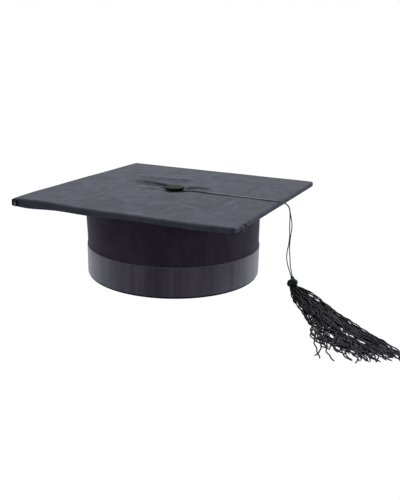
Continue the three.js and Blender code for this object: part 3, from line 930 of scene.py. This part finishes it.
def relief(x, y):
    """The cover's height over its flat top: the button's hollow, puckers that fan out from it,
    creases with a groove between two soft ridges, pressed flat where the cord lies at either end
    of its turn, and broad shallow waves."""
    r = np.hypot(x, y) / MM
    angle = np.arctan2(y, x)
    hollow = -DIMPLE["depth"] / MM * (1 - smooth((r - 11.5) / 12))
    fan = np.sin(11 * angle + 0.7) + 0.7 * np.sin(17 * angle + 2.1) + 0.5 * np.sin(6 * angle)
    fade = smooth((r - 9) / 5) * np.exp(-np.clip(r - 13, 0, None) / 11)
    z = hollow + 0.16 * fan * fade
    px, py = x / MM, y / MM
    for x0, y0, x1, y1, width, depth in CREASES:
        dx, dy = x1 - x0, y1 - y0
        long = math.hypot(dx, dy)
        along = ((px - x0) * dx + (py - y0) * dy) / long
        bow = 0.05 * long * np.sin(np.clip(along / long, 0, 1) * math.pi)
        off = ((py - y0) * dx - (px - x0) * dy) / long - bow
        ends = smooth(along / (0.12 * long) + 0.5) * (1 - smooth((along / long - 0.55) / 0.5))
        ridges = 0.62 * np.exp(-(((np.abs(off) - 1.9 * width) / width) ** 2))
        groove = 0.5 * np.exp(-((off / width) ** 2))
        z = z + np.maximum(depth * ends * (ridges - groove), -0.95)
    bed = (1 - smooth((np.abs(py) - 2.5) / 5)) * (np.abs(px) > 12)
    z = z - np.clip(z, 0, None) * bed
    broad = np.sin(px / 21 + py / 38 + 0.5) * np.sin(py / 26 - px / 47) + 0.6 * np.sin(px / 11 - py / 15)
    return (z + 0.14 * broad * smooth((r - 20) / 30)) * MM


def outline_columns():
    """The board's outline, a quarter at a time: half an arc, a straight side, half an arc, each
    turned a quarter from the last. Returns the points and their outward directions."""
    arc = np.linspace(0, math.pi / 4, 11)
    side = np.linspace(-1, 1, 67)[1:-1] * (HALF - CORNER_ROUND)
    centre = HALF - CORNER_ROUND
    turn = np.concatenate([arc - math.pi / 4, 0 * side, arc[:-1]])
    x = centre + CORNER_ROUND * np.cos(turn)
    y = np.concatenate([0 * arc - centre, side, 0 * arc[:-1] + centre]) + CORNER_ROUND * np.sin(turn)
    quarter = np.stack([x, y], -1)
    outward_way = np.stack([np.cos(turn), np.sin(turn)], -1)
    matrices = [quarter_turn(k).T for k in range(4)]
    return (np.concatenate([part @ m for m in matrices]) for part in (quarter, outward_way))


def board_rings():
    """The cover's rings from the hole under the button, over the edge, to the turned-in end, as
    (half size, inset from the outline, height from the top, share of the top's relief). Only the
    rings on the top have a half size."""
    inner = np.concatenate([np.linspace(2.4, 40, 48), np.linspace(42, 116.5, 40)]) * MM
    top = [(s, HALF - s, 0.0, 1.0) for s in inner]
    depth = BOARD_TOP - BOARD_UNDER
    bend = np.linspace(0, math.pi / 2, 8)
    rise, turn = EDGE_ROUND * (1 - np.cos(bend)), EDGE_ROUND * (1 - np.sin(bend))
    upper = [(None, inset, -drop, 0.6) for inset, drop in zip(turn, rise)]
    sides = [(None, 0.0, -EDGE_ROUND - t * (depth - 2 * EDGE_ROUND), 0.3) for t in (0.25, 0.5, 0.75)]
    lower = [(None, inset, -depth + up, 0.0) for inset, up in zip(rise, turn)]
    under = [(None, d, -depth, 0.0) for d in np.array([2.6, 4, 6, 8, 10, 12, 14, 16, 17.4, 18]) * MM]
    return top + upper + sides + lower + under


def add_board_cover():
    """The cover: rings of the outline, run over a profile. On the top a ring is a circle near the
    button that grows into the outline, so its point lies at s ((1 - k) + k g) along its ray, where
    g is the outline's reach on that ray; round the edge it is the outline moved inwards; and under
    the board it is the outline made smaller. Its height is the profile's, plus relief and warp."""
    outline, way = outline_columns()
    reach = np.linalg.norm(outline, axis=1)
    ray = outline / reach[:, None]
    rings = []
    for s, inset, height, share in board_rings():
        if s is not None:
            grown = smooth((s / MM - 16) / 70)
            plan = ray * (s * ((1 - grown) + grown * reach / HALF))[:, None]
        elif inset <= EDGE_ROUND + 1e-9:
            plan = outline - way * inset
        else:
            plan = outline * (HALF - inset) / HALF
        x, y = plan.T
        near_edge = np.abs(np.maximum(np.abs(x), np.abs(y)) - HALF) / MM
        lip = 0.4 * MM * np.exp(-(((near_edge - 3.2) / 2.6) ** 2)) * (height > -EDGE_ROUND)
        worn = 0.18 * MM * np.sin((x + y) / (9 * MM)) * np.sin((x - y) / (23 * MM)) * share
        bulge = 0.25 * MM * math.sin(math.pi * min(1.0, -height / (BOARD_TOP - BOARD_UNDER)))
        x, y = (plan + way * (bulge + worn[:, None] * (height < 0))).T
        level = BOARD_TOP + height + share * relief(plan[:, 0], plan[:, 1]) + lip + warp(x, y)
        level = level - bulk(x, y) * min(1.0, -height / (BOARD_TOP - BOARD_UNDER))
        rings.append(np.stack([x, y, level], -1))
    points = np.stack(rings).reshape(-1, 3)
    surface = (points, [grid(len(rings), len(outline), False, True)[0][:, ::-1]])
    nodes = ["board_cover"]
    add_piece("board_cloth_cover", surface, "board_cloth", "cap", nodes, CLOTH * 0.8)


def add_wadding():
    """The padding: a thin slab with the cover's warp and hollow, swept like the cover."""
    outline, _ = outline_columns()
    top = BOARD_TOP - CLOTH - WADDING_GAP
    sizes = np.array([0.12, 0.2, 0.3, 0.45, 0.6, 0.75, 0.88, 0.972, 0.978])
    rings = []
    for share, level in [(s, 0) for s in sizes] + [(s, 1) for s in sizes[::-1]]:
        plan = outline * share
        x, y = plan.T
        r = np.hypot(x, y)
        hollow = DIMPLE["depth"] * (1 - smooth((r / MM - 18) / 12))
        thick = WADDING_DEPTH * (1 - 0.5 * hollow / DIMPLE["depth"])
        height = top - level * thick - hollow * (1 - level)
        rings.append(np.stack([x, y, height + warp(x, y)], -1))
    surface = closed_rings(rings)
    add_piece("wadding_layer", surface, "wadding", "cap", ["board_wadding"])


def add_facing():
    """The facing under the board: a thin sheet of cloth from the shank out past the turned-in
    edge, with the board's warp and small pulls along its glued border."""
    outline, _ = outline_columns()
    outer = high("board_facing")[0] / HALF
    facing_top = high("board_facing")[2]
    facing_low = low("board_facing")[2]
    rings = []
    sizes = np.concatenate([[0.03], np.linspace(0.1, 0.8, 12), np.linspace(0.83, 1, 12)])
    for share, level in [(s, facing_top) for s in sizes] + [(s, facing_low) for s in sizes[::-1]]:
        x, y = (outline * share * outer).T
        along = np.where(np.abs(x) > np.abs(y), y, x) / MM
        pulls = 0.05 * MM * np.sin(along / 2.3) * np.sin(along / 7.1) * smooth((share - 0.86) / 0.1)
        sheet = level + warp(x, y) - bulk(x, y) - pulls * (level < facing_top)
        rings.append(np.stack([x, y, sheet], -1))
    surface = closed_rings(rings)
    add_piece("underside_facing", surface, "facing_cloth", "cap", ["board_facing"])


def add_corner_tucks():
    """A tuck at each corner, where the cover's spare cloth is folded over one side: a strip that
    follows the edge from the corner, as deep as the edge, with a slanting folded end that stands
    proud in a soft roll."""
    depth = BOARD_TOP - BOARD_UNDER
    lengths = (30, 22, 26, 8)
    start = HALF - CORNER_ROUND
    bend = CORNER_ROUND * math.pi / 4
    parts = []
    rows, columns = 46, 14
    along, down = np.meshgrid(np.linspace(0, 1, rows), np.linspace(0, 1, columns), indexing="ij")
    for number, length in enumerate(lengths):
        slant = (0.55 + 0.45 * down) * length * MM
        run = along * slant
        past = np.clip(run - bend, 0, None)
        turn = math.pi / 4 - np.clip(run / CORNER_ROUND, 0, math.pi / 4)
        fold = 1.3 * MM * smooth((along - 0.05) / 0.25) * (1 - smooth((along - 0.9) / 0.1))
        roll = np.sin(math.pi * (0.06 + 0.88 * down)) ** 0.5
        stand = 0.54 * MM + fold * (0.55 + 0.45 * np.sin(along * 9 + down * 3.5)) * roll
        x = start + (CORNER_ROUND + stand) * np.cos(turn)
        y = -start - (CORNER_ROUND + stand) * np.sin(turn) + past
        for from_edge in (down, 1 - down):
            round_off = np.clip(from_edge * depth / EDGE_ROUND, 0, 1) * math.pi / 2
            x = x - 0.9 * EDGE_ROUND * (1 - np.sin(round_off))
        z = BOARD_TOP - 0.15 * MM - down * (depth - 0.5 * MM)
        plan = np.stack([x, y], -1) @ quarter_turn(number).T
        z = z + warp(plan[..., 0], plan[..., 1])
        points = np.stack([plan[..., 0], plan[..., 1], z], -1).reshape(-1, 3)
        quads = grid(rows, columns)[0]
        parts.append((points, [quads], np.zeros((quads.size, 2))))
    surface = join(parts)[:2]
    add_piece("corner_tucks", surface, "board_cloth", "cap", wall=CLOTH * 0.7)


# Folds of spare cloth at two corners, in millimetres. Each is a pad on the edge: how far it spans
# along the edge from the corner and down from the top, the middle and half size of the mouth in it,
# whether the mouth is open below, how far the pad stands off, how deep its lip and mouth are, and
# the painted light and shade: how light the cloth is painted in the mouth and round it, and how much
# painted shade darkens the lip. It is laid out at the front left corner, then mirrored or turned by
# quarters to its own.
FOLD_GRID = (56, 48)
CORNER_FOLDS = [
    {
        "turns": 0, "mirrored": False, "span": (-4.1, 4.9), "down": (-0.5, 8.4), "middle": (1.2, 4.7),
        "half": (1.9, 3.0), "open": True, "stand": 2.0, "lip": 1.4, "mouth": 0.1, "light": (0.6, 0.05, 0.5),
    },
    {
        "turns": 0, "mirrored": True, "span": (-5.2, 1.8), "down": (-0.2, 6.6), "middle": (-1.9, 2.9),
        "half": (1.7, 2.1), "open": False, "stand": 0.6, "lip": 0.4, "mouth": 1.5, "light": (0.0, 0.2, 0.0),
    },
    {
        "turns": 1, "mirrored": False, "span": (11, 27), "down": (-0.8, 8.6), "middle": (18.5, 3.8),
        "half": (4.4, 2.7), "open": False, "stand": 1.5, "lip": 0.5, "mouth": 0.6, "light": (0.2, 0.3, 0.14),
    },
]


def corner_fold(fold):
    """One fold's points: the pad follows the edge round the corner and stands off it by its own
    height, less a lip exp(-(d / 0.55)^2) and the mouth's depth, where d is the distance from the
    mouth's outline; its border is sunk into the edge. Also the painted light and shade at each
    point: the mouth painted lighter or darker, and painted shade on the lip."""
    spans = np.linspace(*fold["span"], FOLD_GRID[0]), np.linspace(*fold["down"], FOLD_GRID[1])
    along, down = np.meshgrid(*spans, indexing="ij")
    middle, half = fold["middle"], fold["half"]
    below = 0 if fold["open"] else 1
    tall = np.clip(middle[1] - down, 0, None) - below * np.clip(down - middle[1], 0, None)
    off = (np.hypot((along - middle[0]) / half[0], tall / half[1]) - 1) * min(half)
    across = (along - np.mean(fold["span"])) / np.ptp(fold["span"]) * 2
    upright = (down - np.mean(fold["down"])) / np.ptp(fold["down"]) * 2
    border = smooth((1 - np.abs(across) ** 2.4 - np.abs(upright) ** 2.4) / 0.5)
    lip = fold["lip"] * np.exp(-((off / 0.55) ** 2))
    ridge = 0.3 * np.exp(-(((off - 1.1) / 0.7) ** 2))
    stand = (fold["stand"] + ridge - lip - fold["mouth"] * smooth(-off / 0.9)) * border - 0.4
    hidden = np.clip(down, 1.2, 4.6)
    down = hidden + (down - hidden) * np.clip(border * 3, 0, 1)
    turn = np.clip(-along * MM / CORNER_ROUND, 0, None)
    centre = CORNER_ROUND - HALF
    x = centre + np.clip(along, 0, None) * MM - (CORNER_ROUND + stand * MM) * np.sin(turn)
    y = centre - (CORNER_ROUND + stand * MM) * np.cos(turn)
    sign = -1 if fold["mirrored"] else 1
    plan = np.stack([sign * x, y], -1) @ quarter_turn(fold["turns"]).T
    z = BOARD_TOP - down * MM + warp(plan[..., 0], plan[..., 1])
    # painted light and shade: the mouth painted lighter or darker than round it, and painted shade on the
    # lip
    inside, outside, lip_shade = fold["light"]
    light = outside + (inside - outside) * smooth(-off / 0.8) - lip_shade * np.exp(-((off / 0.6) ** 2))
    light = np.clip(light, 0, 1) * border + 0.1 * (1 - border)
    return np.concatenate([plan, z[..., None]], -1).reshape(-1, 3), light.ravel()


def add_corner_folds():
    """The folds of spare cloth, as one piece. Its map's u carries the painted light and shade, and
    its v is nothing."""
    parts = []
    for fold in CORNER_FOLDS:
        points, light = corner_fold(fold)
        quads = grid(*FOLD_GRID)[0]
        quads = quads[:, ::-1] if fold["mirrored"] else quads
        shade = light[quads.ravel()]
        parts.append((points, [quads], np.stack([shade, 0 * shade], -1)))
    add_piece("corner_folds", join(parts), "fold_cloth", "cap", wall=CLOTH * 0.6)


# ---------------------------------------------------------------- button


def add_button():
    """The button's cloth, closed over its shell: a shallow dome whose side turns under with small
    pleats, r = R (1 - p |sin 9a|), deepest on the underside."""
    radius = BUTTON_RADIUS
    rise = BUTTON_TOP - BUTTON_LOW
    bend = np.linspace(0, math.pi / 2, 9)
    side = 1.1 * MM
    shoulder = [(radius - side * (1 - math.sin(a)), BUTTON_TOP - side * (1 - math.cos(a))) for a in bend]
    profile = [(0.02 * MM, BUTTON_TOP)]
    profile += [(radius * t, BUTTON_TOP - 0.35 * MM * t**2.4) for t in np.linspace(0.1, 0.86, 12)]
    profile += [(r, z - 0.4 * MM) for r, z in shoulder]
    profile += [(radius - 0.3 * MM, BUTTON_LOW + 0.25 * rise), (radius - 1.1 * MM, BUTTON_LOW + 0.05 * MM)]
    profile += [(radius - BUTTON_LIP, BUTTON_LOW), (radius - BUTTON_LIP, BUTTON_LOW + CLOTH)]
    profile += [(r - CLOTH, z - CLOTH - 0.6 * MM) for r, z in shoulder[::-1]]
    profile += [(0.02 * MM, BUTTON_TOP - CLOTH)]

    def pleated(r, z, angle):
        share = smooth((r / radius - 0.6) / 0.4) * smooth((BUTTON_TOP - z) / (1.6 * MM))
        creases = np.abs(np.sin(9 * angle + 0.4 * np.sin(3 * angle)))
        return r * (1 - 0.035 * share * creases), z + 0.05 * MM * share * np.sin(5 * angle)

    surface = around_axis(profile, 120, pleated)
    add_piece("button_cloth_cap", surface, "button_cloth", "cap", ["button_cover"])


# ---------------------------------------------------------------- crown


def wavy(angle, height):
    """Slight unevenness of cloth on the tube, from -1 to 1, by angle and height in metres."""
    slow = np.sin(5 * angle + 0.4 + height / (30 * MM))
    quick = 0.6 * np.sin(11 * angle + 1.9 - height / (22 * MM))
    return (slow + quick + 0.4 * np.sin(23 * angle + height / (17 * MM))) / 2


def add_crown_cloth():
    """The crown's cloth: a closed profile that rolls under the rim, runs up the outside and back
    down behind it to the top of the hem, carried round, with a lapped seam at the back, the
    tube's unevenness and a slight fullness high on one side."""
    outer = CROWN_OUTER
    inner = LINING_OUTER
    bend = np.linspace(0, math.pi, 9)
    middle = (outer + inner) / 2
    half = (outer - inner) / 2
    roll = [(middle - half * math.cos(a), half * 0.75 * (1 - math.sin(a))) for a in bend]
    outside = [(outer, z) for z in np.linspace(2.4 * MM, CROWN_TOP, 46)]
    back_down = [(outer - CLOTH, z) for z in np.linspace(CROWN_TOP, 3 * MM, 12)]
    inside = [(inner + CLOTH, 3.5 * MM), (inner + CLOTH, HEM), (inner, HEM), (inner, 2.6 * MM)]
    profile = roll + outside + back_down + inside

    def worn(r, z, angle):
        shown = r > outer - 0.1 * MM
        from_seam = (angle - SEAM_AT) * CROWN_OUTER / MM
        seam = 0.5 * smooth((from_seam + 4) / 1.2) * (1 - smooth(from_seam / 0.5))
        above = smooth((z - RIBBON_HIGH) / (3 * MM))
        ripple = 0.16 * wavy(angle, z) * above + seam * smooth((z - RIBBON_HIGH + 2 * MM) / (2 * MM))
        ripple = ripple + np.clip(np.cos(angle - 3.58), 0, 1) ** 2 * smooth((z / MM - 36) / 34)
        return r + ripple * MM * shown, z

    surface = around_axis(profile, 300, worn)
    add_piece("crown_cloth_wrap", surface, "crown_cloth", "cap", ["crown_cloth"])


def add_ribbon():
    """The ribbon: a thin closed band whose faces bow very slightly and whose edges are woven
    firm, carried round, with shallow upright waves where it was drawn tight."""
    inner = CROWN_OUTER + 0.3 * MM
    outer = RIBBON_OUTER
    tall = RIBBON_HIGH - RIBBON_LOW
    first, last = 0.018, 0.996
    up = np.linspace(first, last, 26)
    face = [(outer - 0.1 * MM * abs(2 * t - 1) ** 6, RIBBON_LOW + tall * t) for t in up]
    back = [(inner, RIBBON_LOW + tall * t) for t in np.linspace(last, first, 5)]

    def drawn(r, z, angle):
        share = (z - RIBBON_LOW) / tall
        wave = np.sin(31 * angle + 2.2 * share) + 0.7 * np.sin(47 * angle - 1.4 * share + 1)
        return r + 0.035 * MM * wave, z + 0.072 * MM * np.sin(4 * angle + 0.6)

    surface = around_axis(face + back, 480, drawn)
    add_piece("ribbon_band", surface, "satin", "cap", ["satin_band"])


def add_ribbon_lap():
    """The ribbon's lapped end: a strip that leaves the band, lies over it and is folded back on
    itself at a slant, so that its end is a soft doubled roll."""
    base = RIBBON_OUTER + 0.12 * MM
    rows, columns = 60, 24
    t, up = np.meshgrid(np.linspace(0, 1, rows), np.linspace(0, 1, columns), indexing="ij")
    slant = 0.03 * (up - 0.5)
    angle = LAP_AT + (LAP_ANGLE + slant) * t
    rise = smooth(t / 0.2)
    rolled = 0.35 * MM * np.exp(-(((t - 0.05) / 0.05) ** 2))
    stand = base + 0.55 * MM * (1 - smooth((t - 0.9) / 0.1)) * (0.55 + 0.45 * rise) + rolled
    tall = RIBBON_HIGH - RIBBON_LOW
    z = RIBBON_LOW + tall * (0.004 + 0.992 * up) + 0.1 * MM * np.sin(6 * t)
    points = np.stack([stand * np.cos(angle), stand * np.sin(angle), z], -1).reshape(-1, 3)
    surface = (points, [grid(rows, columns)[0][:, ::-1]])
    add_piece("ribbon_lap", surface, "satin", "cap", ["satin_band_lap"], RIBBON_DEPTH)


def add_lining():
    """The lining: a closed profile of the wall and the ceiling carried round, gathered in soft
    pleats at the ceiling's rim and drawn smooth towards its middle."""
    thick = LINING_DEPTH
    wall_low = low("crown_lining")[2]
    ceiling = LINING_CEILING - 0.5 * MM
    outer = LINING_OUTER - 0.5 * MM
    wall = [(outer, z) for z in np.linspace(wall_low, ceiling - 2 * MM, 14)]
    top = [(outer - 0.6 * MM, ceiling - 0.6 * MM)]
    top += [(r, ceiling) for r in np.linspace(outer - 2 * MM, 0.3 * MM, 26)]
    under = [(max(r - thick, 0.3 * MM), z - thick) for r, z in reversed(wall[3:] + top)]
    inside = [(outer - thick, z) for z in np.linspace(wall_low + 6 * MM, wall_low, 4)]
    profile = wall + top + under + inside

    def gathered(r, z, angle):
        share = smooth((z - wall_low) / (ceiling - wall_low) * 1.4 - 0.4)
        near_rim = smooth((r - 45 * MM) / (40 * MM))
        pleats = np.sin(58 * angle + 2 * np.sin(7 * angle)) + 0.5 * np.sin(31 * angle + 1)
        return r - 0.3 * MM * share * near_rim, z - 0.32 * MM * (1 + pleats / 1.5) * share * near_rim

    surface = around_axis(profile, 360, gathered)
    add_piece("lining_shell", surface, "lining", "cap", ["crown_lining"])


def add_sweatband():
    """The sweatband: a closed profile with a rolled lower edge and a slightly wavy upper one."""
    outer = high("sweatband")[0]
    inner = outer - SWEATBAND_DEPTH
    base = low("sweatband")[2]
    top = high("sweatband")[2]
    bend = np.linspace(0, math.pi, 9)
    middle, half = (outer + inner) / 2, (outer - inner) / 2
    roll = [(middle + half * math.cos(a), base + half * (1 - math.sin(a))) for a in bend]
    inside = [(inner, z) for z in np.linspace(base + 1.4 * MM, top, 10)]
    outside = [(outer - 0.6 * MM, top), (outer - 0.6 * MM, base + 3 * MM), (outer, base + 1.6 * MM)]

    def wavy_top(r, z, angle):
        share = smooth((z - base) / (top - base))
        return r + 0.18 * MM * share * np.sin(9 * angle) * np.sin(4 * angle), z

    surface = around_axis(roll + inside + outside, 300, wavy_top)
    add_piece("sweatband_grosgrain", surface, "sweatband", "cap", ["sweatband"])


def add_stitches():
    """Stitches through the sweatband: short threads, each a low arch, all round near the top and
    the bottom edge."""
    inner = high("sweatband")[0] - SWEATBAND_DEPTH
    each_one = np.arange(STITCHES)
    bow = np.linspace(-1, 1, 7)
    radius = 0.16 * MM
    sides = 6
    around = np.arange(sides) / sides * TURN
    parts = []
    for level in (low("sweatband")[2] + 2.6 * MM, high("sweatband")[2] - 2.2 * MM):
        angle = (each_one[:, None] + 0.31 * bow[None, :]) / STITCHES * TURN
        r = inner - 0.12 * MM * (1 - bow[None, :] ** 2) + 0.1 * MM
        size = radius * np.sqrt(1.04 - bow**2)
        out = r[:, :, None] + size[None, :, None] * np.cos(around) + 0 * angle[..., None]
        z = level + size[None, :, None] * np.sin(around) + 0 * out
        points = np.stack([out * np.cos(angle)[..., None], out * np.sin(angle)[..., None], z], -1)
        quads, at_row, at_column = grid(len(bow), sides, False, True)
        size_of_one = len(bow) * sides
        first = each_one[:, None, None] * size_of_one
        stitches = (quads[None] + first).reshape(-1, 4)
        ends = np.array([np.arange(sides), (np.arange(sides) + size_of_one - sides)[::-1]])
        caps = (ends[None] + first).reshape(-1, sides)
        uv = np.stack([at_column / sides, at_row * 0.25 * MM], -1).reshape(-1, 2)
        uv = np.concatenate([np.tile(uv, (STITCHES, 1)), np.zeros((caps.size, 2))])
        parts.append((points.reshape(-1, 3), [stitches, caps], uv))
    points, faces, uv = join(parts)
    surface = (points, outward(points, faces), uv)
    add_piece("sweatband_stitches", surface, "thread", "cap")


# ---------------------------------------------------------------- the frame's own nodes


def finish_nodes():
    """The frame's nodes that stay, each with the finish of its material slot."""
    slots = {part["node"]: part["material_slot"] for part in frame["record"]["subparts"]}
    for name, node in frame["nodes"].items():
        if node.hide_render:
            continue
        node.data.materials.clear()
        node.data.materials.append(FINISHES[slots[name]])


# ---------------------------------------------------------------- stage


def add_floor():
    """A plain white floor, bright enough by itself to show white everywhere. It gives the object
    no light: what comes from below comes from the surround."""
    white = Finish("floor").set(
        Base_Color=(0.01, 0.01, 0.01),
        Roughness=0.9,
        Specular_IOR_Level=0.0,
        Emission_Color=(1.0, 1.0, 1.0),
        Emission_Strength=1.0,
    )
    half_size = 40
    corners = np.array([[-1, -1, 0], [1, -1, 0], [1, 1, 0], [-1, 1, 0]]) * half_size
    floor = add_object("floor", make_mesh("floor", corners, [np.array([[0, 1, 2, 3]])]))
    floor.data.materials.append(white)
    floor.location.z = -0.3 * MM
    floor.visible_diffuse = False
    floor.visible_glossy = False
    floor.visible_shadow = False


def add_area_light(name, place, aim, size, watts):
    data = bpy.data.lights.new(name, "AREA")
    data.shape = "SQUARE"
    data.size = size
    data.energy = watts
    light = add_object(name, data)
    light.location = place
    light.rotation_mode = "QUATERNION"
    light.rotation_quaternion = (Vector(aim) - Vector(place)).to_track_quat("-Z", "Y")


def add_light():
    """A cool surround that is dim on the near side and underneath and bright behind, plain white
    where the camera sees it, and one broad soft light over the back of the board."""
    add_area_light("overhead", (-0.35, 0.7, 1.15), (0, 0, 0.08), 1.0, 17.5)
    world = bpy.data.worlds.new("surround")
    bpy.context.scene.world = world
    surround = Graph(world, "Background")
    way = surround.node("ShaderNodeTexCoord")
    near = math.radians(18.0)
    sockets = {0: way, 1: (math.sin(near), -math.cos(near), 0.0)}
    nearness = surround.node("ShaderNodeVectorMath", {"operation": "DOT_PRODUCT"}, sockets, 1)
    height = surround.split(way)[2]
    level = nearness.between(-0.65, 0.95, 1.45, 0.36) * height.between(-0.9, -0.5, 0.25, 1.0)
    seen = surround.node("ShaderNodeLightPath")
    surround.set(
        Strength=surround.node("ShaderNodeMix", None, {0: seen, 2: level, 3: 1.0}),
        Color=surround.mix(seen, (0.9, 0.94, 1.0), (1.0, 1.0, 1.0)),
    )
    bpy.context.scene.view_settings.view_transform = "Standard"


# ---------------------------------------------------------------- the cap

add_camera()
knot = add_knot()
head = add_head()
neck = add_neck()
add_cord()
add_skirt()
add_board_cover()
add_wadding()
add_facing()
add_corner_tucks()
add_corner_folds()
add_button()
add_crown_cloth()
add_ribbon()
add_ribbon_lap()
add_lining()
add_sweatband()
add_stitches()
finish_nodes()
add_floor()
add_light()
